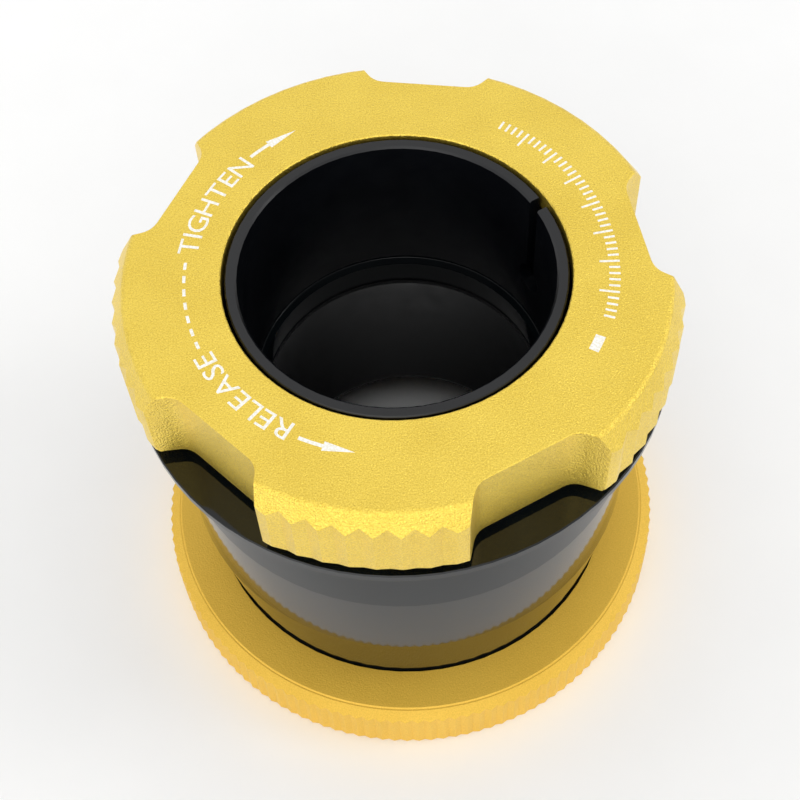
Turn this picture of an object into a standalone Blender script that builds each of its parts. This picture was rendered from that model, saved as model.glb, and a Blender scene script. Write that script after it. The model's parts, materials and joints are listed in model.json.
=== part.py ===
"""A straight-through twist-lock eyepiece holder for a telescope.

A split collet grips a 1.25 inch barrel. The gold lock ring turns about the optical axis, its three
helical cam grooves pull a tapered ring down inside the neck, and the taper closes the collet. The gold
coupling ring spins freely on the foot of the black barrel and screws onto the telescope's 2 inch thread.

The optical axis is Z. Z = 0 is the underside of the coupling ring, and the eyepiece goes in from above.
Lengths in the constants are millimetres. MM turns them into metres.
"""

from math import atan2, cos, degrees, hypot, pi, radians, sin

import bmesh
import bpy

MM = 0.001
GAP = 0.3

# Heights of the main faces above the underside of the coupling ring.
TOP_Z = 53.2
LOCK_RING_BOTTOM_Z = 43.45
FLANGE_TOP_Z = 42.2
COUPLING_TOP_Z = 7.3
SEAT_FACE_Z = 2.9

# Lock ring.
LOBES = 5
TEETH_ROUND = 70
TEETH_PER_LOBE = 8
SCALLOP_AZIMUTH = 8.05
SCALLOP_FLOOR_R = 24.87
SCALLOP_HALF_FLAT = 4.4
SCALLOP_FILLET = 2.3
SCALLOP_WALL_ANGLE = 50.0
LOCK_TIP_R = 28.73
LOCK_GROOVE_R = 28.2
LOCK_FACE_R = 27.27
BEVEL_SLOPE = 1.65
LOCK_HOLE_R = 17.5
LOCK_BORE_R = 22.8
LOCK_LIP = 2.2

# Lock motion.
LOCK_TURN = 60.0
CLAMP_TRAVEL = 1.2
PIN_COUNT = 3
PIN_AZIMUTH = 44.0
PIN_R = 0.8
PIN_Z = 48.2
CAM_TUBE_R = 1.25
CAM_PATH_R = 22.9

# Collet.
BORE_R = 15.95
COLLET_R = 17.15
COLLET_TOP_Z = 53.0
COLLET_BOTTOM_Z = 34.4
COLLET_COLLAR_R = 18.35
TAPER_TOP_Z = 50.4
TAPER_BOTTOM_Z = 45.7
COLLAR_BOTTOM_Z = 43.9
SLIT_AZIMUTH = 25.7
SLIT_WIDTH = 1.4
SLIT_HOLE_R = 1.75
SLIT_HOLE_Z = 40.8

# Clamp ring.
CLAMP_TOP_Z = 50.4
CLAMP_BOTTOM_Z = 46.0
CLAMP_R = 20.55
CLAMP_CLEARANCE = 0.5

# Neck.
NECK_R = 22.3
NECK_BORE_R = 20.9
NECK_TOP_Z = 49.9
NECK_BOTTOM_Z = 37.9
NECK_SEAT_Z = 37.6
NECK_SLOT_WIDTH = 2.4
SNAP_Z = (44.3, 44.9)

# Barrel.
FLANGE_R = 28.4
FLANGE_THICKNESS = 1.1
BARREL_TOP_R = 25.1
BARREL_R = 25.65
BARREL_CREST_Z = 29.3
BARREL_WAIST_R = 25.42
BARREL_WAIST_Z = 18.0
FOOT_TOP_Z = 7.6
FOOT_R = 23.85
BARREL_BOTTOM_Z = 4.8
LEDGE_Z = 34.1
LIP_R = 15.45
LIP_BOTTOM_Z = 30.7

# Baffle tube and foot.
BAFFLE_BORE_R = 15.5
BAFFLE_R = 16.75
BAFFLE_TOP_Z = 30.35
BAFFLE_BOTTOM_Z = 9.4
COLLAR_R = 21.9
COLLAR_THICKNESS = 1.2
FOOT_BORE_R = 22.2
SEAT_BORE_R = 20.4
SEAT_R = 24.6
SEAT_TOP_Z = 4.5

# Coupling ring.
COUPLING_TEETH = 130
COUPLING_TIP_R = 29.95
COUPLING_GROOVE_R = 29.66
COUPLING_FACE_R = 28.4
COUPLING_HOLE_R = 24.0
COUPLING_LIP = 1.7
THREAD_MAJOR_R = 25.45
THREAD_MINOR_R = 24.95
THREAD_PITCH = 25.4 / 24

# Headless screws at the back of the barrel.
SCREW_R = 1.0
SCREW_AZIMUTH = 98.0
SCREW_Z = 36.0
NECK_SCREW_AZIMUTHS = (58.0, 138.0)
NECK_SCREW_Z = 39.4

STEPS = 72


def clear_scene():
    """Remove every object that is in the scene."""
    for obj in list(bpy.data.objects):
        bpy.data.objects.remove(obj, do_unlink=True)


def make_collection(name):
    """Make a collection and link it to the scene."""
    collection = bpy.data.collections.new(name)
    bpy.context.scene.collection.children.link(collection)
    return collection


def make_material(name, colour, roughness, metallic):
    """Make a Principled material."""
    material = bpy.data.materials.new(name)
    material.use_nodes = True
    shader = material.node_tree.nodes["Principled BSDF"]
    shader.inputs["Base Color"].default_value = (*colour, 1.0)
    shader.inputs["Roughness"].default_value = roughness
    shader.inputs["Metallic"].default_value = metallic
    return material


def add_object(name, mesh, collection, material=None):
    """Put a mesh in a collection as a named object."""
    obj = bpy.data.objects.new(name, mesh)
    collection.objects.link(obj)
    if material:
        obj.data.materials.append(material)
    return obj


def hide_cutter(obj):
    """Show a cutter as wire and keep it out of the model."""
    obj.hide_render = True
    obj.display_type = "WIRE"
    return obj


def shade_round(obj):
    """Shade a round piece smooth, with its real edges kept sharp."""
    obj.data.shade_smooth()
    obj.data.set_sharp_from_angle(angle=radians(30))


def turned(name, profile, collection, material=None, steps=STEPS, start=0.0):
    """Turn a closed profile of (radius, z) about Z. It runs down the outer side and up the inner side."""
    mesh = bpy.data.meshes.new(name)
    build = bmesh.new()
    corners = [build.verts.new((r * MM, 0.0, z * MM)) for r, z in profile]
    for index, corner in enumerate(corners):
        build.edges.new((corner, corners[(index + 1) % len(corners)]))
    build.to_mesh(mesh)
    build.free()
    obj = add_object(name, mesh, collection, material)
    obj.rotation_euler = (0.0, 0.0, radians(start))
    screw = obj.modifiers.new("Turn", "SCREW")
    screw.angle = 2 * pi
    screw.steps = steps
    screw.render_steps = steps
    screw.use_merge_vertices = True
    screw.merge_threshold = 0.00001
    return obj


def prism(name, outline, z_low, z_high, collection):
    """Extrude a flat closed outline of (x, y) points between two heights."""
    curve = bpy.data.curves.new(name + "_outline", "CURVE")
    curve.dimensions = "2D"
    curve.fill_mode = "BOTH"
    curve.extrude = (z_high - z_low) / 2 * MM
    spline = curve.splines.new("POLY")
    spline.points.add(len(outline) - 1)
    for point, (x, y) in zip(spline.points, outline):
        point.co = (x * MM, y * MM, 0.0, 1.0)
    spline.use_cyclic_u = True
    guide = bpy.data.objects.new(name + "_outline", curve)
    collection.objects.link(guide)
    guide.location.z = (z_low + z_high) / 2 * MM
    return hide_cutter(curve_to_mesh(name, guide, collection))


def swept(name, path, radius, collection):
    """Sweep a round section along a path of points."""
    curve = bpy.data.curves.new(name + "_path", "CURVE")
    curve.dimensions = "3D"
    curve.bevel_depth = radius * MM
    curve.bevel_resolution = 2
    curve.use_fill_caps = True
    spline = curve.splines.new("POLY")
    spline.points.add(len(path) - 1)
    for point, place in zip(spline.points, path):
        point.co = (place[0] * MM, place[1] * MM, place[2] * MM, 1.0)
    guide = bpy.data.objects.new(name + "_path", curve)
    collection.objects.link(guide)
    return hide_cutter(curve_to_mesh(name, guide, collection))


def curve_to_mesh(name, guide, collection):
    """Turn a curve object into a closed mesh object, and remove the curve."""
    bpy.context.view_layer.update()
    graph = bpy.context.evaluated_depsgraph_get()
    mesh = bpy.data.meshes.new_from_object(guide.evaluated_get(graph))
    build = bmesh.new()
    build.from_mesh(mesh)
    bmesh.ops.remove_doubles(build, verts=build.verts, dist=0.000001)
    bmesh.ops.recalc_face_normals(build, faces=build.faces)
    build.to_mesh(mesh)
    build.free()
    obj = bpy.data.objects.new(name, mesh)
    collection.objects.link(obj)
    obj.matrix_world = guide.matrix_world
    bpy.data.objects.remove(guide, do_unlink=True)
    return obj


def rod(name, radius, length, collection, material=None, sides=20):
    """Make a cylinder along its own Z, centred on its origin."""
    mesh = bpy.data.meshes.new(name)
    build = bmesh.new()
    bmesh.ops.create_cone(
        build,
        cap_ends=True,
        segments=sides,
        radius1=radius * MM,
        radius2=radius * MM,
        depth=length * MM,
    )
    build.to_mesh(mesh)
    build.free()
    return add_object(name, mesh, collection, material)


def block(name, size, collection):
    """Make a box cutter of the given size, centred on its origin."""
    mesh = bpy.data.meshes.new(name)
    build = bmesh.new()
    bmesh.ops.create_cube(build, size=1.0)
    for vert in build.verts:
        vert.co.x *= size[0] * MM
        vert.co.y *= size[1] * MM
        vert.co.z *= size[2] * MM
    build.to_mesh(mesh)
    build.free()
    return hide_cutter(add_object(name, mesh, collection))


def place_radial(obj, azimuth, radius, z):
    """Lay a rod or a block along the radius at an azimuth, its own Z pointing outwards."""
    angle = radians(azimuth)
    obj.location = (radius * cos(angle) * MM, radius * sin(angle) * MM, z * MM)
    obj.rotation_euler = (0.0, pi / 2, angle)
    return obj


def boolean(obj, cutter, operation="DIFFERENCE"):
    """Cut, join or intersect an object with another."""
    modifier = obj.modifiers.new(operation.title() + " " + cutter.name, "BOOLEAN")
    modifier.operation = operation
    modifier.solver = "EXACT"
    modifier.object = cutter


def polar(radius, azimuth):
    """Point at a radius and an azimuth in degrees."""
    return radius * cos(radians(azimuth)), radius * sin(radians(azimuth))


def scallop_side():
    """One side of a scallop as (offset from its middle, distance from the axis), from floor to lobe."""
    side = []
    for step in range(6):
        angle = radians(SCALLOP_WALL_ANGLE * step / 5)
        offset = SCALLOP_HALF_FLAT + SCALLOP_FILLET * sin(angle)
        height = SCALLOP_FLOOR_R + SCALLOP_FILLET * (1 - cos(angle))
        side.append((offset, height))
    wall = radians(SCALLOP_WALL_ANGLE)
    offset, height = side[-1]
    for length in (1.9, 2.25):
        side.append((offset + length * cos(wall), height + length * sin(wall)))
    return side


def lock_ring_outline():
    """Outline of the lock ring: five scallops with a knurled lobe between each pair."""
    outline = []
    pitch = 360.0 / TEETH_ROUND
    sector = 360.0 / LOBES
    side = scallop_side()
    across = [(-u, v) for u, v in reversed(side)] + side
    for lobe in range(LOBES):
        middle = SCALLOP_AZIMUTH + sector * lobe
        for u, v in across:
            outline.append(polar(hypot(u, v), middle + degrees(atan2(u, v))))
        centre = middle + sector / 2
        first = -(TEETH_PER_LOBE - 1) / 2 * pitch
        outline.append(polar(28.62, centre + first - 1.4))
        for tooth in range(TEETH_PER_LOBE):
            outline.append(polar(LOCK_TIP_R, centre + first + tooth * pitch))
            if tooth < TEETH_PER_LOBE - 1:
                outline.append(polar(LOCK_GROOVE_R, centre + first + (tooth + 0.5) * pitch))
        outline.append(polar(28.62, centre - first + 1.4))
    return outline


def make_lock_ring(parts, cutters, gold):
    """Gold ring with five knurled lobes. Three helical cam grooves run inside its bore."""
    over = LOCK_TIP_R + 0.5
    bevel_top = TOP_Z - (over - LOCK_FACE_R) * BEVEL_SLOPE
    bevel_foot_r = 28.14
    bevel_low = LOCK_RING_BOTTOM_Z + (over - bevel_foot_r) * BEVEL_SLOPE
    lip_z = TOP_Z - LOCK_LIP
    groove_r = 23.45
    profile = [
        (LOCK_FACE_R, TOP_Z),
        (over, bevel_top),
        (over, bevel_low),
        (bevel_foot_r, LOCK_RING_BOTTOM_Z),
        (LOCK_BORE_R, LOCK_RING_BOTTOM_Z),
        (LOCK_BORE_R, SNAP_Z[0] - GAP),
        (groove_r, SNAP_Z[0] - GAP),
        (groove_r, SNAP_Z[1] + GAP),
        (LOCK_BORE_R, SNAP_Z[1] + GAP),
        (LOCK_BORE_R, lip_z),
        (LOCK_HOLE_R, lip_z),
        (LOCK_HOLE_R, TOP_Z - 0.12),
        (LOCK_HOLE_R + 0.12, TOP_Z),
    ]
    tip = SCALLOP_AZIMUTH + 36.0 - 3.5 * 360.0 / TEETH_ROUND
    ring = turned("lock_ring", profile, parts, gold, steps=TEETH_ROUND, start=tip)
    outline = prism(
        "lock_ring_form", lock_ring_outline(), LOCK_RING_BOTTOM_Z - 2, TOP_Z + 2, cutters
    )
    boolean(ring, outline, "INTERSECT")
    for index in range(PIN_COUNT):
        path = []
        for step in range(-1, 14):
            share = step / 12
            azimuth = PIN_AZIMUTH + 120.0 * index + LOCK_TURN * share
            x, y = polar(CAM_PATH_R, azimuth)
            level = min(max(share, 0.0), 1.0)
            path.append((x, y, PIN_Z - CLAMP_TRAVEL * level))
        boolean(ring, swept(f"cam_groove_{index + 1}", path, CAM_TUBE_R, cutters))
    shade_round(ring)
    return ring


def make_lock_ring_washer(parts, nylon):
    """Thin glide washer under the lock ring."""
    profile = [(24.3, 43.15), (24.3, 42.5), (22.6, 42.5), (22.6, 43.15)]
    return turned("lock_ring_washer", profile, parts, nylon, steps=40)


def make_dust_washer(parts, nylon):
    """Thin washer between the top of the neck and the lip of the lock ring."""
    low = NECK_TOP_Z + GAP
    high = TOP_Z - LOCK_LIP - GAP
    profile = [(22.3, high), (22.3, low), (20.95, low), (20.95, high)]
    return turned("neck_dust_washer", profile, parts, nylon, steps=40)


def make_snap_ring(parts, cutters, steel):
    """Split wire ring that keeps the lock ring on the neck."""
    low, high = SNAP_Z
    ring = turned(
        "snap_ring", [(23.1, high), (23.1, low), (22.05, low), (22.05, high)], parts, steel, 40
    )
    split = block("snap_ring_split", (4.0, 4.0, 6.0), cutters)
    boolean(ring, place_radial(split, 200.0, 22.5, (low + high) / 2))
    return ring


def taper_r(z):
    """Outer radius of the collet's taper at a height."""
    share = (TAPER_TOP_Z - z) / (TAPER_TOP_Z - TAPER_BOTTOM_Z)
    return COLLET_R + (COLLET_COLLAR_R - COLLET_R) * share


def make_collet(parts, cutters, black):
    """Split collet: a thin sleeve with a tapered collar, one slit and a round hole that ends the slit."""
    profile = [
        (COLLET_R - 0.15, COLLET_TOP_Z),
        (COLLET_R, COLLET_TOP_Z - 0.15),
        (COLLET_R, TAPER_TOP_Z),
        (COLLET_COLLAR_R, TAPER_BOTTOM_Z),
        (COLLET_COLLAR_R, COLLAR_BOTTOM_Z),
        (COLLET_R, COLLAR_BOTTOM_Z),
        (COLLET_R, COLLET_BOTTOM_Z),
        (BORE_R, COLLET_BOTTOM_Z),
        (BORE_R, COLLET_TOP_Z - 0.2),
        (BORE_R + 0.2, COLLET_TOP_Z),
    ]
    collet = turned("collet_sleeve", profile, parts, black, steps=60)
    top = COLLET_TOP_Z + 3
    slit = block("collet_slit", (top - SLIT_HOLE_Z, SLIT_WIDTH, 6.0), cutters)
    boolean(collet, place_radial(slit, SLIT_AZIMUTH, 17.0, (top + SLIT_HOLE_Z) / 2))
    hole = hide_cutter(rod("collet_slit_hole", SLIT_HOLE_R, 6.0, cutters))
    boolean(collet, place_radial(hole, SLIT_AZIMUTH, 17.0, SLIT_HOLE_Z))
    pocket = hide_cutter(rod("collet_screw_pocket", SCREW_R + GAP, 4.0, cutters))
    boolean(collet, place_radial(pocket, SCREW_AZIMUTH, 16.5 + 2.0, SCREW_Z))
    shade_round(collet)
    return collet


def make_clamp_ring(parts, cutters, brass):
    """Brass ring whose inner taper closes the collet as it slides down."""
    profile = [
        (CLAMP_R, CLAMP_TOP_Z),
        (CLAMP_R, CLAMP_BOTTOM_Z),
        (taper_r(CLAMP_BOTTOM_Z) + CLAMP_CLEARANCE, CLAMP_BOTTOM_Z),
        (taper_r(CLAMP_TOP_Z) + CLAMP_CLEARANCE, CLAMP_TOP_Z),
    ]
    ring = turned("clamp_ring", profile, parts, brass, steps=48)
    for index in range(PIN_COUNT):
        hole = hide_cutter(rod(f"clamp_pin_hole_{index + 1}", PIN_R + 0.15, 4.0, cutters))
        boolean(ring, place_radial(hole, PIN_AZIMUTH + 120.0 * index, 19.6, PIN_Z))
    shade_round(ring)
    return ring


def make_drive_pins(parts, steel):
    """Three radial pins that join the clamp ring to the cam grooves."""
    pins = []
    inner, outer = 18.75, 23.4
    for index in range(PIN_COUNT):
        pin = rod(f"drive_pin_{index + 1}", PIN_R, outer - inner, parts, steel, sides=16)
        place_radial(pin, PIN_AZIMUTH + 120.0 * index, (inner + outer) / 2, PIN_Z)
        shade_round(pin)
        pins.append(pin)
    return pins


def make_neck(parts, cutters, black):
    """Slotted neck that screws into the barrel and carries the lock ring."""
    low, high = SNAP_Z
    profile = [
        (NECK_R, NECK_TOP_Z),
        (NECK_R, high + 0.15),
        (NECK_R - 0.55, high + 0.15),
        (NECK_R - 0.55, low - 0.15),
        (NECK_R, low - 0.15),
        (NECK_R, NECK_BOTTOM_Z),
        (17.5, NECK_BOTTOM_Z),
        (17.5, 43.6),
        (NECK_BORE_R, 43.6),
        (NECK_BORE_R, NECK_TOP_Z),
    ]
    neck = turned("neck_sleeve", profile, parts, black, steps=48)
    slot_low = PIN_Z - CLAMP_TRAVEL - PIN_R - GAP
    slot_high = PIN_Z + PIN_R + GAP
    for index in range(PIN_COUNT):
        slot = block(
            f"neck_slot_{index + 1}", (slot_high - slot_low, NECK_SLOT_WIDTH, 4.0), cutters
        )
        azimuth = PIN_AZIMUTH + 120.0 * index
        boolean(neck, place_radial(slot, azimuth, 21.6, (slot_low + slot_high) / 2))
    shade_round(neck)
    return neck


def make_barrel(parts, cutters, black):
    """Glossy black barrel: a thin flange, two faint tapers, a stronger one at the foot and a stepped bore."""
    flange_low = FLANGE_TOP_Z - FLANGE_THICKNESS
    profile = [
        (FLANGE_R - 0.12, FLANGE_TOP_Z),
        (FLANGE_R, FLANGE_TOP_Z - 0.12),
        (FLANGE_R, flange_low + 0.12),
        (FLANGE_R - 0.12, flange_low),
        (BARREL_TOP_R, flange_low),
        (BARREL_R, BARREL_CREST_Z),
        (BARREL_WAIST_R, BARREL_WAIST_Z),
        (FOOT_R, FOOT_TOP_Z),
        (FOOT_R, BARREL_BOTTOM_Z),
        (FOOT_BORE_R, BARREL_BOTTOM_Z),
        (FOOT_BORE_R, BAFFLE_BOTTOM_Z + COLLAR_THICKNESS + GAP),
        (BAFFLE_R + GAP, BAFFLE_BOTTOM_Z + COLLAR_THICKNESS + GAP),
        (BAFFLE_R + GAP, LIP_BOTTOM_Z),
        (LIP_R, LIP_BOTTOM_Z),
        (LIP_R, LEDGE_Z - 0.6),
        (LIP_R + 0.5, LEDGE_Z),
        (17.5, LEDGE_Z),
        (17.5, NECK_SEAT_Z),
        (NECK_R + GAP, NECK_SEAT_Z),
        (NECK_R + GAP, FLANGE_TOP_Z),
    ]
    barrel = turned("barrel_body", profile, parts, black)
    hole = hide_cutter(rod("barrel_screw_hole", SCREW_R + GAP, 12.0, cutters))
    boolean(barrel, place_radial(hole, SCREW_AZIMUTH, 22.0, SCREW_Z))
    for index, azimuth in enumerate(NECK_SCREW_AZIMUTHS):
        hole = hide_cutter(rod(f"neck_screw_hole_{index + 1}", SCREW_R + GAP, 6.0, cutters))
        boolean(barrel, place_radial(hole, azimuth, 25.0, NECK_SCREW_Z))
    shade_round(barrel)
    return barrel


def make_locating_screw(parts, cutters, steel):
    """Headless screw through the barrel that stops the collet turning."""
    name = "collet_locating_screw"
    return make_grub_screw(name, SCREW_AZIMUTH, 16.85, SCREW_Z, parts, cutters, steel)


def make_neck_screws(parts, cutters, steel):
    """Two headless screws at the back that lock the neck in the barrel."""
    for index, azimuth in enumerate(NECK_SCREW_AZIMUTHS):
        name = f"neck_lock_screw_{index + 1}"
        make_grub_screw(name, azimuth, NECK_R + GAP, NECK_SCREW_Z, parts, cutters, steel)


def make_grub_screw(name, azimuth, inner, z, parts, cutters, steel):
    """Headless screw along the radius, with a hexagon socket in its outer end."""
    outer = 24.95
    screw = rod(name, SCREW_R, outer - inner, parts, steel, sides=20)
    place_radial(screw, azimuth, (inner + outer) / 2, z)
    socket = hide_cutter(rod(name + "_socket", 0.5, 2.0, cutters, sides=6))
    boolean(screw, place_radial(socket, azimuth, outer, z))
    shade_round(screw)
    return screw


def make_baffle_tube(parts, black):
    """Ribbed light baffle that lines the bore, with a collar at its foot."""
    collar_z = BAFFLE_BOTTOM_Z + COLLAR_THICKNESS
    profile = [
        (BAFFLE_R, BAFFLE_TOP_Z),
        (BAFFLE_R, collar_z),
        (COLLAR_R, collar_z),
        (COLLAR_R, BAFFLE_BOTTOM_Z),
        (BAFFLE_BORE_R, BAFFLE_BOTTOM_Z),
    ]
    ribs = 7
    pitch = (BAFFLE_TOP_Z - BAFFLE_BOTTOM_Z - 1.0) / ribs
    for rib in range(ribs):
        z = BAFFLE_BOTTOM_Z + 0.5 + rib * pitch
        profile.append((BAFFLE_BORE_R, z))
        profile.append((BAFFLE_BORE_R + 0.35, z + pitch / 2))
    profile.append((BAFFLE_BORE_R, BAFFLE_TOP_Z - 0.5))
    profile.append((BAFFLE_BORE_R, BAFFLE_TOP_Z))
    tube = turned("baffle_tube", profile, parts, black, steps=48)
    shade_round(tube)
    return tube


def make_seat_flange(parts, cutters, black):
    """Foot flange that seats on the telescope and keeps the coupling ring on the barrel."""
    spigot_top = BAFFLE_BOTTOM_Z - GAP
    profile = [
        (COLLAR_R, spigot_top),
        (COLLAR_R, SEAT_TOP_Z),
        (SEAT_R, SEAT_TOP_Z),
        (SEAT_R, SEAT_FACE_Z + 0.3),
        (SEAT_R - 0.3, SEAT_FACE_Z),
        (SEAT_BORE_R, SEAT_FACE_Z),
        (SEAT_BORE_R, spigot_top),
    ]
    flange = turned("seat_flange", profile, parts, black, steps=60)
    for azimuth in (0.0, 180.0):
        notch = block(f"spanner_notch_{azimuth:.0f}", (2.4, 2.4, 3.0), cutters)
        boolean(flange, place_radial(notch, azimuth, 20.4, SEAT_FACE_Z))
    shade_round(flange)
    return flange


def make_coupling_washer(parts, nylon):
    """Slip washer between the seat flange and the lip of the coupling ring."""
    profile = [(24.6, 5.3), (24.6, 4.8), (24.05, 4.8), (24.05, 5.3)]
    return turned("coupling_washer", profile, parts, nylon, steps=40)


def coupling_outline():
    """Outline of the coupling ring: fine V teeth all round."""
    outline = []
    pitch = 360.0 / COUPLING_TEETH
    for tooth in range(COUPLING_TEETH):
        outline.append(polar(COUPLING_TIP_R, tooth * pitch))
        outline.append(polar(COUPLING_GROOVE_R, (tooth + 0.5) * pitch))
    return outline


def make_coupling_ring(parts, cutters, gold):
    """Gold ring with fine teeth. Its lip turns on the foot and its thread takes the telescope."""
    over = COUPLING_TIP_R + 0.4
    bevel = 0.68
    land_r = COUPLING_FACE_R + 0.32
    land_z = COUPLING_TOP_Z - 0.16
    blank = [
        (COUPLING_FACE_R, COUPLING_TOP_Z),
        (COUPLING_FACE_R + 0.16, land_z),
        (land_r, land_z),
        (over, land_z - (over - land_r) * bevel),
        (over, 0.8),
        (over - 0.8, 0.0),
        (23.0, 0.0),
        (23.0, COUPLING_TOP_Z),
    ]
    ring = turned("coupling_ring", blank, parts, gold, steps=COUPLING_TEETH)
    outline = prism("coupling_ring_form", coupling_outline(), -2.0, COUPLING_TOP_Z + 2, cutters)
    boolean(ring, outline, "INTERSECT")
    lip_z = COUPLING_TOP_Z - COUPLING_LIP
    bore = [
        (COUPLING_HOLE_R + 0.97, COUPLING_TOP_Z + 0.94),
        (COUPLING_HOLE_R + 0.03, COUPLING_TOP_Z),
        (COUPLING_HOLE_R, COUPLING_TOP_Z - 0.03),
        (COUPLING_HOLE_R, lip_z),
        (THREAD_MAJOR_R, lip_z),
    ]
    turns = 3
    for turn in range(turns):
        crest = lip_z - 0.55 - turn * THREAD_PITCH
        bore.append((THREAD_MAJOR_R, crest + 0.25))
        bore.append((THREAD_MINOR_R, crest - 0.1))
        bore.append((THREAD_MAJOR_R, crest - 0.45))
    bore += [(THREAD_MAJOR_R, 0.3), (THREAD_MAJOR_R + 1.3, -1.0), (1.0, -1.0)]
    bore.append((1.0, COUPLING_TOP_Z + 0.94))
    boolean(ring, hide_cutter(turned("coupling_bore", bore, cutters, steps=60)))
    shade_round(ring)
    return ring


def add_joint_empty(name, collection, children):
    """Put an empty on the optical axis as the parent of the pieces that move together."""
    empty = bpy.data.objects.new(name, None)
    collection.objects.link(empty)
    for child in children:
        child.parent = empty
    return empty


def main():
    clear_scene()
    parts = make_collection("twist_lock_eyepiece_holder")
    cutters = make_collection("cutters")
    gold = make_material("gold_anodised_aluminium", (0.83, 0.55, 0.09), 0.38, 0.9)
    gold_low = make_material("gold_anodised_aluminium_turned", (0.80, 0.52, 0.08), 0.3, 0.9)
    gloss = make_material("gloss_black_anodised", (0.012, 0.012, 0.013), 0.12, 0.0)
    satin = make_material("satin_black_anodised", (0.03, 0.032, 0.034), 0.4, 0.2)
    matt = make_material("matt_black_baffle", (0.015, 0.015, 0.016), 0.7, 0.0)
    brass = make_material("brass", (0.72, 0.5, 0.22), 0.3, 1.0)
    steel = make_material("stainless_steel", (0.55, 0.55, 0.56), 0.3, 1.0)
    nylon = make_material("black_nylon", (0.02, 0.02, 0.02), 0.6, 0.0)

    lock_ring = make_lock_ring(parts, cutters, gold)
    clamp_ring = make_clamp_ring(parts, cutters, brass)
    pins = make_drive_pins(parts, steel)
    make_collet(parts, cutters, satin)
    make_neck(parts, cutters, satin)
    make_snap_ring(parts, cutters, steel)
    make_lock_ring_washer(parts, nylon)
    make_dust_washer(parts, nylon)
    make_barrel(parts, cutters, gloss)
    make_locating_screw(parts, cutters, steel)
    make_neck_screws(parts, cutters, steel)
    make_baffle_tube(parts, matt)
    make_seat_flange(parts, cutters, satin)
    make_coupling_washer(parts, nylon)
    coupling_ring = make_coupling_ring(parts, cutters, gold_low)

    add_joint_empty("lock_ring_turn", parts, [lock_ring])
    add_joint_empty("clamp_ring_slide", parts, [clamp_ring, *pins])
    add_joint_empty("coupling_ring_turn", parts, [coupling_ring])


main()
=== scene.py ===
"""Looks of a twist-lock eyepiece holder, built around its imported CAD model.

Every length below is in millimetres and MM turns it into metres, the unit of the frame. The optical
axis is Z, and an azimuth is counted in degrees from +X.
"""

import json
from math import cos, degrees, hypot, pi, radians, sin

import bmesh
import bpy
from mathutils import Matrix, Vector

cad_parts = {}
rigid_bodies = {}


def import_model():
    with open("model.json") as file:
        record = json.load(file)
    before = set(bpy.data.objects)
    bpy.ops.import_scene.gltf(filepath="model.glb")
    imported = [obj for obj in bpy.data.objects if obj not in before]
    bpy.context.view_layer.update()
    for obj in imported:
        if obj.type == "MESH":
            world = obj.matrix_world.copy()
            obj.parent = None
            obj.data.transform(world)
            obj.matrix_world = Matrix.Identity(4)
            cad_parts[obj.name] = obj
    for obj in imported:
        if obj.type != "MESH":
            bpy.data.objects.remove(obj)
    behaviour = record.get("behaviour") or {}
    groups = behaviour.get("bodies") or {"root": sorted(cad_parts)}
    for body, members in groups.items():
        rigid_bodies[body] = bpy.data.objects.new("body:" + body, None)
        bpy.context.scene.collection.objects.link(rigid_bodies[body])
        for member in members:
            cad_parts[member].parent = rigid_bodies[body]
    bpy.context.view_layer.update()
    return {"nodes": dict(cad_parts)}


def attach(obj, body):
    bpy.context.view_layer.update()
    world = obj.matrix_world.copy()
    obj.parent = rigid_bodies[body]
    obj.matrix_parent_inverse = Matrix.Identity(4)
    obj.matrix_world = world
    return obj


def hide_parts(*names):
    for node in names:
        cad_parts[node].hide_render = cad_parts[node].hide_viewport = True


MM = 0.001

for old in list(bpy.data.objects):
    bpy.data.objects.remove(old, do_unlink=True)

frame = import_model()

SCENE = bpy.context.scene
PARTS = SCENE.collection

# Levels of the CAD model that the finished pieces follow.
TOP_Z = 53.2
BAFFLE_TOP_Z = 30.35
BAFFLE_BOTTOM_Z = 9.4
COLLET_END_Z = 52.9

# Refining a CAD node: points closer than WELD are one, bends under FLAT_ANGLE degrees are flat, and
# an edge is level when its ends differ in height by less than LEVEL.
WELD = 0.002
FLAT_ANGLE = 0.3
LEVEL = 0.001

# White print on the lock ring: letters stand on a circle, and the other marks follow its middle.
LETTER_R = 20.1
LETTER_HEIGHT = 2.0
PRINT_MIDDLE_R = LETTER_R + LETTER_HEIGHT / 2
PRINT_SUNK = 0.01
PRINT_PROUD = 0.02

GOLD_GRAIN = 0.19
RINGS_PER_METRE = 3.2  # of a Wave texture whose scale is 1


# ---------------------------------------------------------------- materials

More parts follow.
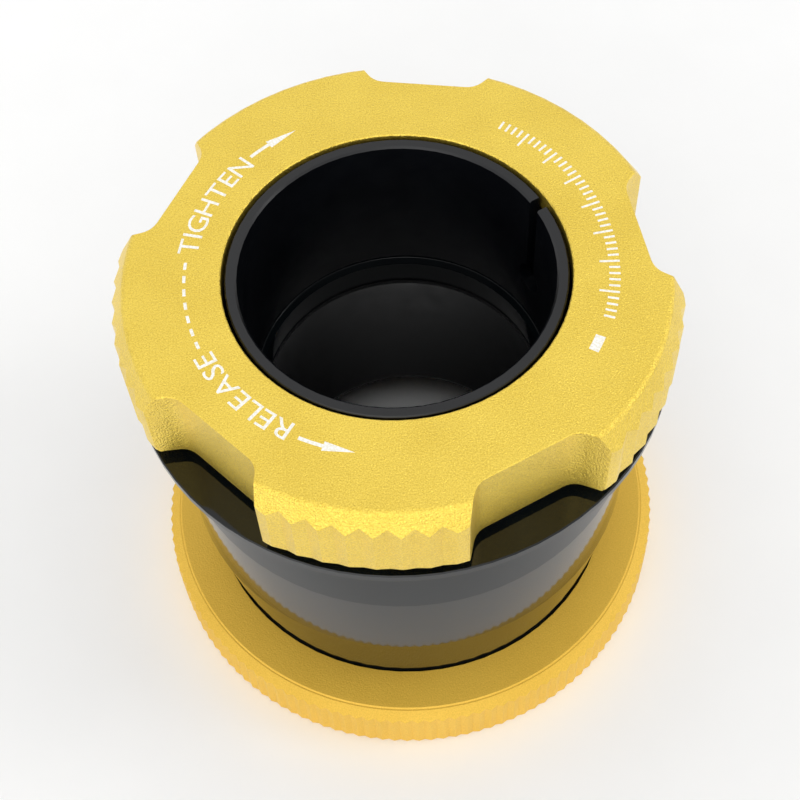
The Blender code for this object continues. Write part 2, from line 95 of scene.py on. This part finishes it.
class Shader:
    """A Principled material with its node tree, and short calls that add the nodes it needs."""

    def __init__(self, name):
        self.material = bpy.data.materials.new(name)
        self.material.use_nodes = True
        self.tree = self.material.node_tree
        self.principled = self.tree.nodes["Principled BSDF"]
        self.place = self.node("ShaderNodeTexCoord").outputs["Object"]

    def node(self, kind):
        return self.tree.nodes.new(kind)

    def join(self, source, target):
        self.tree.links.new(source, target)

    def set(self, **values):
        for name, value in values.items():
            self.principled.inputs[name.replace("_", " ")].default_value = value

    def noise(self, size, detail=2.0, roughness=0.5):
        """Noise whose grains are about size millimetres across, from 0 to 1."""
        node = self.node("ShaderNodeTexNoise")
        node.inputs["Scale"].default_value = 1.0 / (size * MM)
        node.inputs["Detail"].default_value = detail
        node.inputs["Roughness"].default_value = roughness
        self.join(self.place, node.inputs["Vector"])
        return node.outputs["Fac"]

    def remap(self, source, low, high, to_low, to_high):
        node = self.node("ShaderNodeMapRange")
        node.clamp = True
        self.join(source, node.inputs["Value"])
        for name, value in (
            ("From Min", low),
            ("From Max", high),
            ("To Min", to_low),
            ("To Max", to_high),
        ):
            node.inputs[name].default_value = value
        return node.outputs["Result"]

    def maths(self, operation, first, second):
        node = self.node("ShaderNodeMath")
        node.operation = operation
        for socket, value in zip(node.inputs, (first, second)):
            if isinstance(value, (int, float)):
                socket.default_value = value
            else:
                self.join(value, socket)
        return node.outputs["Value"]

    def mix(self, share, first, second):
        """Blend two colours by a share that varies over the surface."""
        node = self.node("ShaderNodeMix")
        node.data_type = "RGBA"
        self.join(share, node.inputs["Factor"])
        for socket, value in ((node.inputs[6], first), (node.inputs[7], second)):
            if isinstance(value, tuple):
                socket.default_value = (*value, 1.0)
            else:
                self.join(value, socket)
        return node.outputs[2]

    def bump(self, height, depth, strength=1.0, after=None):
        """Bump of a real depth in millimetres."""
        node = self.node("ShaderNodeBump")
        node.inputs["Strength"].default_value = strength
        node.inputs["Distance"].default_value = depth * MM
        self.join(height, node.inputs["Height"])
        if after is not None:
            self.join(after, node.inputs["Normal"])
        return node.outputs["Normal"]

    def use(self, socket, source):
        self.join(source, self.principled.inputs[socket])


def gold_finish(name, deep, light, grain_depth, rough, metallic, turned=0.0):
    """Gold anodised aluminium: a blasted grain, cloudy dye and, where turned, fine lathe lines.

    turned is the pitch of the lathe lines.
    """
    shader = Shader(name)
    cloud = shader.noise(9.0, 3.0)
    fleck = shader.noise(GOLD_GRAIN * 0.8, 1.0, 0.5)
    uneven = shader.maths("ADD", cloud, shader.maths("MULTIPLY", fleck, 3.0))
    shader.use("Base Color", shader.mix(shader.remap(uneven, 1.4, 2.6, 0.0, 1.0), deep, light))
    shader.use("Roughness", shader.remap(fleck, 0.3, 0.7, rough - 0.06, rough + 0.06))
    normal = shader.bump(shader.noise(GOLD_GRAIN, 1.0, 0.5), grain_depth)
    if turned:
        rings = shader.node("ShaderNodeTexWave")
        rings.wave_type = "RINGS"
        rings.rings_direction = "Z"
        rings.inputs["Scale"].default_value = 1.0 / (turned * MM) / RINGS_PER_METRE
        rings.inputs["Distortion"].default_value = 0.0
        shader.join(shader.place, rings.inputs["Vector"])
        normal = shader.bump(rings.outputs["Fac"], 0.002, 0.5, after=normal)
    shader.use("Normal", normal)
    shader.set(Metallic=metallic, IOR=1.5, Coat_Weight=0.3, Coat_Roughness=0.4, Coat_IOR=1.5)
    return shader.material


def black_finish(name, dark, light, rough, grain, grain_depth, ior=1.5):
    """Black anodised aluminium or nylon with a faint grain and slightly uneven gloss."""
    shader = Shader(name)
    cloud = shader.noise(6.0, 3.0)
    fleck = shader.noise(grain, 2.0, 0.6)
    shader.use("Base Color", shader.mix(shader.remap(cloud, 0.3, 0.7, 0.0, 1.0), dark, light))
    smear = shader.noise(2.2, 3.0)
    shader.use("Roughness", shader.remap(smear, 0.3, 0.7, rough * 0.85, rough * 1.2))
    shader.use("Normal", shader.bump(fleck, grain_depth))
    shader.set(IOR=ior)
    return shader.material


def print_finish():
    """White printing ink, a little thin in places."""
    shader = Shader("white_print")
    share = shader.remap(shader.noise(0.25, 3.0), 0.35, 0.6, 0.0, 1.0)
    shader.use("Base Color", shader.mix(share, (0.80, 0.76, 0.62), (0.93, 0.93, 0.90)))
    shader.use("Normal", shader.bump(shader.noise(0.1, 2.0), 0.004))
    shader.set(Roughness=0.5)
    return shader.material


def metal_finish(name, dark, light, rough):
    """Plain turned metal with fine streaks."""
    shader = Shader(name)
    share = shader.remap(shader.noise(0.4, 4.0), 0.3, 0.7, 0.0, 1.0)
    shader.use("Base Color", shader.mix(share, dark, light))
    smear = shader.noise(0.8, 3.0)
    shader.use("Roughness", shader.remap(smear, 0.3, 0.7, rough * 0.8, rough * 1.25))
    shader.use("Normal", shader.bump(shader.noise(0.12, 2.0), 0.003))
    shader.set(Metallic=1.0)
    return shader.material


GOLD_UPPER = gold_finish(
    "gold_blasted",
    deep=(0.76, 0.53, 0.060),
    light=(0.98, 0.74, 0.120),
    grain_depth=0.120,
    rough=0.36,
    metallic=0.85,
)
GOLD_LOWER = gold_finish(
    "gold_turned",
    deep=(0.76, 0.48, 0.050),
    light=(0.88, 0.59, 0.085),
    grain_depth=0.030,
    rough=0.68,
    metallic=0.65,
    turned=0.25,
)
GLOSS_BLACK = black_finish(
    "gloss_black",
    dark=(0.002, 0.003, 0.004),
    light=(0.004, 0.006, 0.007),
    rough=0.06,
    grain=0.3,
    grain_depth=0.0006,
    ior=1.45,
)
SATIN_BLACK = black_finish(
    "satin_black",
    dark=(0.0016, 0.0020, 0.0030),
    light=(0.003, 0.0036, 0.005),
    rough=0.22,
    grain=0.15,
    grain_depth=0.003,
)
MATT_BLACK = black_finish(
    "matt_black",
    dark=(0.0015, 0.0018, 0.0025),
    light=(0.003, 0.0034, 0.0045),
    rough=0.40,
    grain=0.12,
    grain_depth=0.004,
)
NYLON = black_finish(
    "black_nylon",
    dark=(0.012, 0.012, 0.012),
    light=(0.022, 0.022, 0.022),
    rough=0.55,
    grain=0.1,
    grain_depth=0.006,
)
BRASS = metal_finish("turned_brass", (0.62, 0.42, 0.17), (0.78, 0.56, 0.27), 0.3)
STEEL = metal_finish("plain_steel", (0.42, 0.42, 0.43), (0.62, 0.62, 0.63), 0.3)
WHITE_PRINT = print_finish()


# ---------------------------------------------------------------- pieces

def add_object(name, mesh, material):
    obj = bpy.data.objects.new(name, mesh)
    PARTS.objects.link(obj)
    obj.data.materials.clear()
    obj.data.materials.append(material)
    return obj


def refine(node, body, material, widths, sharp=24.0, ring_sharp=2.0, clamp=True):
    """Stand in for a CAD node: the same shape with its flat faces joined and its edges rounded.

    widths gives an edge's rounding from its middle and from whether it is level. An edge is rounded
    where it bends by more than sharp degrees, and a level one also shades as sharp above ring_sharp.
    """
    name = node + "_finished"
    source = frame["nodes"][node].data.copy()
    build = bmesh.new()
    build.from_mesh(source)
    bpy.data.meshes.remove(source)
    bmesh.ops.remove_doubles(build, verts=build.verts, dist=WELD * MM)
    bmesh.ops.dissolve_limit(
        build, angle_limit=radians(FLAT_ANGLE), verts=build.verts, edges=build.edges
    )
    weight = build.edges.layers.float.new("bevel_weight_edge")
    widest = 0.0
    chosen = []
    for edge in build.edges:
        angle = degrees(edge.calc_face_angle(0.0)) if edge.is_manifold else 0.0
        first, last = (vert.co for vert in edge.verts)
        level = abs(first.z - last.z) < LEVEL * MM
        edge.smooth = not (angle > sharp or (level and angle > ring_sharp))
        if angle > sharp:
            width = widths((first + last) / 2 / MM, level)
            chosen.append((edge, width))
            widest = max(widest, width)
    for edge, width in chosen:
        edge[weight] = width / widest
    for face in build.faces:
        face.smooth = True
    mesh = bpy.data.meshes.new(name)
    build.to_mesh(mesh)
    build.free()
    obj = add_object(name, mesh, material)
    bevel = obj.modifiers.new("Edges", "BEVEL")
    bevel.width = widest * MM
    bevel.segments = 3
    bevel.limit_method = "WEIGHT"
    bevel.harden_normals = True
    bevel.use_clamp_overlap = clamp
    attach(obj, body)
    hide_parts(node)
    return obj


def even(width):
    """The same small rounding on every edge."""
    return lambda middle, level: width


def lock_ring_edges(middle, level):
    """Wide rounding where the top meets the lobe chamfers, narrower at the scallops, small elsewhere."""
    outside_bore_r = 24.0
    lobe_edge_r = 26.9
    radius = hypot(middle.x, middle.y)
    if level and middle.z > TOP_Z - 0.02 and radius > outside_bore_r:
        return 0.4 if radius > lobe_edge_r else 0.14
    return 0.03 if radius < outside_bore_r else 0.05


def collet_edges(middle, level):
    """Broken edges round the open end of the collet, small ones elsewhere."""
    return 0.12 if middle.z > COLLET_END_Z else 0.05


def turned(name, profile, material, steps):
    """Turn a closed profile of (radius, z) about Z."""
    mesh = bpy.data.meshes.new(name)
    build = bmesh.new()
    rings = []
    for step in range(steps):
        angle = 2 * pi * step / steps
        across, along = cos(angle) * MM, sin(angle) * MM
        rings.append([build.verts.new((r * across, r * along, z * MM)) for r, z in profile])
    for step in range(steps):
        here, there = rings[step], rings[(step + 1) % steps]
        for index in range(len(profile)):
            after = (index + 1) % len(profile)
            build.faces.new((here[index], here[after], there[after], there[index]))
    bmesh.ops.recalc_face_normals(build, faces=build.faces)
    build.to_mesh(mesh)
    build.free()
    mesh.shade_smooth()
    mesh.set_sharp_from_angle(angle=radians(28))
    return add_object(name, mesh, material)


def make_baffle():
    """Baffle tube whose bore has the fine ribs that kill stray light."""
    outer, inner, collar = 16.75, 15.42, 21.9
    collar_top_z = BAFFLE_BOTTOM_Z + 1.2
    pitch, groove_depth = 0.5, 0.28
    plain_below, plain_above = 0.4, 0.8
    profile = [
        (outer, BAFFLE_TOP_Z),
        (outer, collar_top_z),
        (collar, collar_top_z),
        (collar, BAFFLE_BOTTOM_Z),
        (inner, BAFFLE_BOTTOM_Z),
    ]
    z = BAFFLE_BOTTOM_Z + plain_below
    while z < BAFFLE_TOP_Z - plain_above:
        profile.append((inner, z))
        profile.append((inner + groove_depth, z + pitch / 2))
        z += pitch
    profile.append((inner, z))
    profile.append((inner, BAFFLE_TOP_Z))
    baffle = turned("baffle_tube_ribbed", profile, MATT_BLACK, 120)
    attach(baffle, "barrel")
    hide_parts("baffle_tube")


def flat_piece(build, points, low, high):
    """Add a thin closed plate with the given outline to a bmesh."""
    bottom = [build.verts.new((x, y, low)) for x, y in points]
    top = [build.verts.new((x, y, high)) for x, y in points]
    build.faces.new(list(reversed(bottom)))
    build.faces.new(top)
    for index in range(len(points)):
        after = (index + 1) % len(points)
        build.faces.new((bottom[index], bottom[after], top[after], top[index]))


def arc_plate(build, start, end, inner, outer, low, high, steps=8):
    """Add a thin plate along an arc, from one azimuth to another."""
    near = [(inner, start + (end - start) * step / steps) for step in range(steps + 1)]
    far = [(outer, azimuth) for _, azimuth in reversed(near)]
    points = [(r * MM * cos(radians(a)), r * MM * sin(radians(a))) for r, a in near + far]
    if start > end:
        points.reverse()
    flat_piece(build, points, low, high)


def letter_mesh(letter):
    """One capital letter as a thin closed mesh, in the font's own units."""
    curve = bpy.data.curves.new("letter", "FONT")
    curve.body = letter
    curve.resolution_u = 3
    curve.extrude = 0.02
    guide = bpy.data.objects.new("letter", curve)
    PARTS.objects.link(guide)
    bpy.context.view_layer.update()
    evaluated = guide.evaluated_get(bpy.context.evaluated_depsgraph_get())
    mesh = bpy.data.meshes.new_from_object(evaluated)
    bpy.data.objects.remove(guide, do_unlink=True)
    bpy.data.curves.remove(curve)
    return mesh


def add_word(build, word, start, end, low, high):
    """Bend a word round the top face, its letters' tops outwards, read clockwise from start to end."""
    letters = [letter_mesh(letter) for letter in word]
    boxes = []
    for mesh in letters:
        xs = [vert.co.x for vert in mesh.vertices]
        boxes.append((min(xs), max(xs)))
    tall = max(vert.co.y for vert in letters[0].vertices)
    gap = 0.15 * tall
    total = sum(right - left for left, right in boxes) + gap * (len(word) - 1)
    stretch = radians(start - end) * PRINT_MIDDLE_R / total
    at = 0.0
    for mesh, (left, right) in zip(letters, boxes):
        piece = bmesh.new()
        piece.from_mesh(mesh)
        bmesh.ops.remove_doubles(piece, verts=piece.verts, dist=0.0001)
        centre = (at + (right - left) / 2) * stretch
        azimuth = radians(start) - centre / PRINT_MIDDLE_R
        spin = Matrix.Rotation(azimuth - pi / 2, 3, "Z")
        for vert in piece.verts:
            x = (vert.co.x - (left + right) / 2) * stretch
            y = LETTER_R + vert.co.y / tall * LETTER_HEIGHT
            z = high if vert.co.z > 0 else low
            vert.co = spin @ Vector((x * MM, y * MM, 0.0)) + Vector((0, 0, z))
        shaped = bpy.data.meshes.new("shaped")
        piece.to_mesh(shaped)
        piece.free()
        build.from_mesh(shaped)
        bpy.data.meshes.remove(shaped)
        bpy.data.meshes.remove(mesh)
        at += right - left + gap


def add_arrow(build, tail, neck, tip, low, high):
    """Arrow along the arc: a thin shaft and a slim head."""
    arrow_r, half_shaft, half_head = 21.3, 0.19, 0.52
    arc_plate(build, tail, neck, arrow_r - half_shaft, arrow_r + half_shaft, low, high)
    corners = [(arrow_r - half_head, neck), (arrow_r, tip), (arrow_r + half_head, neck)]
    points = [(r * MM * cos(radians(a)), r * MM * sin(radians(a))) for r, a in corners]
    if tip > neck:
        points.reverse()
    flat_piece(build, points, low, high)


def make_marks():
    """White print: two words with arrows, dashes between them, a plain tick scale and a block."""
    low = (TOP_Z - PRINT_SUNK) * MM
    high = (TOP_Z + PRINT_PROUD) * MM
    build = bmesh.new()
    add_word(build, "TIGHTEN", 170.7, 134.3, low, high)
    add_word(build, "RELEASE", 239.0, 205.0, low, high)
    add_arrow(build, 132.6, 126.0, 117.0, low, high)
    add_arrow(build, 241.8, 248.5, 256.8, low, high)
    first_dash, dash_pitch, dash_turn, dash_half_width = 173.6, 4.45, 2.35, 0.16
    inner, outer = PRINT_MIDDLE_R - dash_half_width, PRINT_MIDDLE_R + dash_half_width
    for dash in range(7):
        start = first_dash + dash * dash_pitch
        arc_plate(build, start, start + dash_turn, inner, outer, low, high, 3)
    first_tick, tick_pitch, tick_half_turn = -20.0, 2.0, 0.33
    long_inner, short_inner, outer = 20.1, 21.0, 22.1
    for tick in range(39):
        azimuth = first_tick + tick * tick_pitch
        inner = long_inner if tick % 5 == 4 else short_inner
        arc_plate(build, azimuth - tick_half_turn, azimuth + tick_half_turn, inner, outer, low, high, 2)
    arc_plate(build, -31.5, -26.5, 20.9, 21.9, low, high, 6)
    bmesh.ops.recalc_face_normals(build, faces=build.faces)
    mesh = bpy.data.meshes.new("lock_ring_marks")
    build.to_mesh(mesh)
    build.free()
    marks = add_object("lock_ring_marks", mesh, WHITE_PRINT)
    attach(marks, "lock")


refine("lock_ring", "lock", GOLD_UPPER, lock_ring_edges, 20.0, clamp=False)
refine("coupling_ring", "coupling", GOLD_LOWER, even(0.05), 20.0)
refine("barrel_body", "barrel", GLOSS_BLACK, even(0.04))
refine("clamp_ring", "clamp", BRASS, even(0.05))
refine("collet_sleeve", "barrel", SATIN_BLACK, collet_edges)
for node in ("neck_sleeve", "seat_flange"):
    refine(node, "barrel", SATIN_BLACK, even(0.05))
for node in ("snap_ring", "collet_locating_screw", "neck_lock_screw_1", "neck_lock_screw_2"):
    refine(node, "barrel", STEEL, even(0.04))
for node in ("drive_pin_1", "drive_pin_2", "drive_pin_3"):
    refine(node, "clamp", STEEL, even(0.05))
for node in ("lock_ring_washer", "neck_dust_washer", "coupling_washer"):
    refine(node, "barrel", NYLON, even(0.03))
make_baffle()
make_marks()


# ---------------------------------------------------------------- floor, light and camera

# Surroundings: an even level, and soft patches as (direction, inner angle, outer angle, added light).
# They are a wide light low in front, small ones to the right and high in front, a faint one behind,
# and less light below the horizon.
SKY_LEVEL = 0.91
SKY_PATCHES = (
    ((-0.3, -1.0, 0.0), 20.0, 55.0, 1.15),
    ((0.78, -0.02, 0.62), 4.0, 13.0, 4.0),
    ((0.0, -0.37, 0.93), 5.0, 12.0, 1.8),
    ((-0.5, 0.5, 0.7), 10.0, 45.0, 0.1),
    ((0.0, 0.0, -1.0), 78.0, 100.0, -0.6),
)

# The camera fitted to the photograph. It looks at the target, rolled a little about its sight line.
CAMERA_LENS = 68.42
CAMERA_ELEVATION = 58.035
CAMERA_ROLL = -3.614
CAMERA_DISTANCE = 171.54
CAMERA_TARGET = (-0.448, 0.0, 28.593)


def make_floor():
    """Plain pale floor."""
    mesh = bpy.data.meshes.new("floor")
    half = 1.5
    corners = [(-half, -half, 0), (half, -half, 0), (half, half, 0), (-half, half, 0)]
    mesh.from_pydata(corners, [], [(0, 1, 2, 3)])
    shader = Shader("floor_paper")
    share = shader.remap(shader.noise(14.0, 3.0), 0.3, 0.7, 0.0, 1.0)
    shader.use("Base Color", shader.mix(share, (0.90, 0.90, 0.897), (0.915, 0.915, 0.912)))
    shader.set(Roughness=0.9)
    floor = add_object("floor", mesh, shader.material)


def make_light():
    """White surroundings from SKY_LEVEL and the smooth patches of SKY_PATCHES."""
    world = bpy.data.worlds.new("studio")
    SCENE.world = world
    world.use_nodes = True
    tree = world.node_tree
    background = tree.nodes["Background"]
    background.inputs["Color"].default_value = (1.0, 1.0, 1.0, 1.0)
    place = tree.nodes.new("ShaderNodeTexCoord").outputs["Generated"]
    total = None
    for aim, near, far, power in SKY_PATCHES:
        dot = tree.nodes.new("ShaderNodeVectorMath")
        dot.operation = "DOT_PRODUCT"
        tree.links.new(place, dot.inputs[0])
        dot.inputs[1].default_value = Vector(aim).normalized()
        patch = tree.nodes.new("ShaderNodeMapRange")
        patch.interpolation_type = "SMOOTHSTEP"
        tree.links.new(dot.outputs["Value"], patch.inputs["Value"])
        patch.inputs["From Min"].default_value = cos(radians(far))
        patch.inputs["From Max"].default_value = cos(radians(near))
        patch.inputs["To Max"].default_value = power
        add = tree.nodes.new("ShaderNodeMath")
        add.operation = "ADD"
        add.inputs[0].default_value = SKY_LEVEL
        if total is not None:
            tree.links.new(total, add.inputs[0])
        tree.links.new(patch.outputs["Result"], add.inputs[1])
        total = add.outputs["Value"]
    tree.links.new(total, background.inputs["Strength"])


def make_camera():
    """Camera above the front, where the photograph was taken from."""
    camera = bpy.data.cameras.new("camera")
    camera.lens = CAMERA_LENS
    camera.sensor_width = 36.0
    camera.clip_start = 0.01
    camera.clip_end = 10.0
    holder = bpy.data.objects.new("camera", camera)
    SCENE.collection.objects.link(holder)
    elevation = radians(CAMERA_ELEVATION)
    roll = radians(CAMERA_ROLL)
    right_level = Vector((1.0, 0.0, 0.0))
    up_level = Vector((0.0, sin(elevation), cos(elevation)))
    back = Vector((0.0, -cos(elevation), sin(elevation)))
    right = cos(roll) * right_level + sin(roll) * up_level
    up = -sin(roll) * right_level + cos(roll) * up_level
    place = Vector(CAMERA_TARGET) * MM + back * CAMERA_DISTANCE * MM
    holder.matrix_world = Matrix(
        (
            (right.x, up.x, back.x, place.x),
            (right.y, up.y, back.y, place.y),
            (right.z, up.z, back.z, place.z),
            (0.0, 0.0, 0.0, 1.0),
        )
    )
    SCENE.camera = holder


make_floor()
make_light()
make_camera()
SCENE.view_settings.view_transform = "Standard"
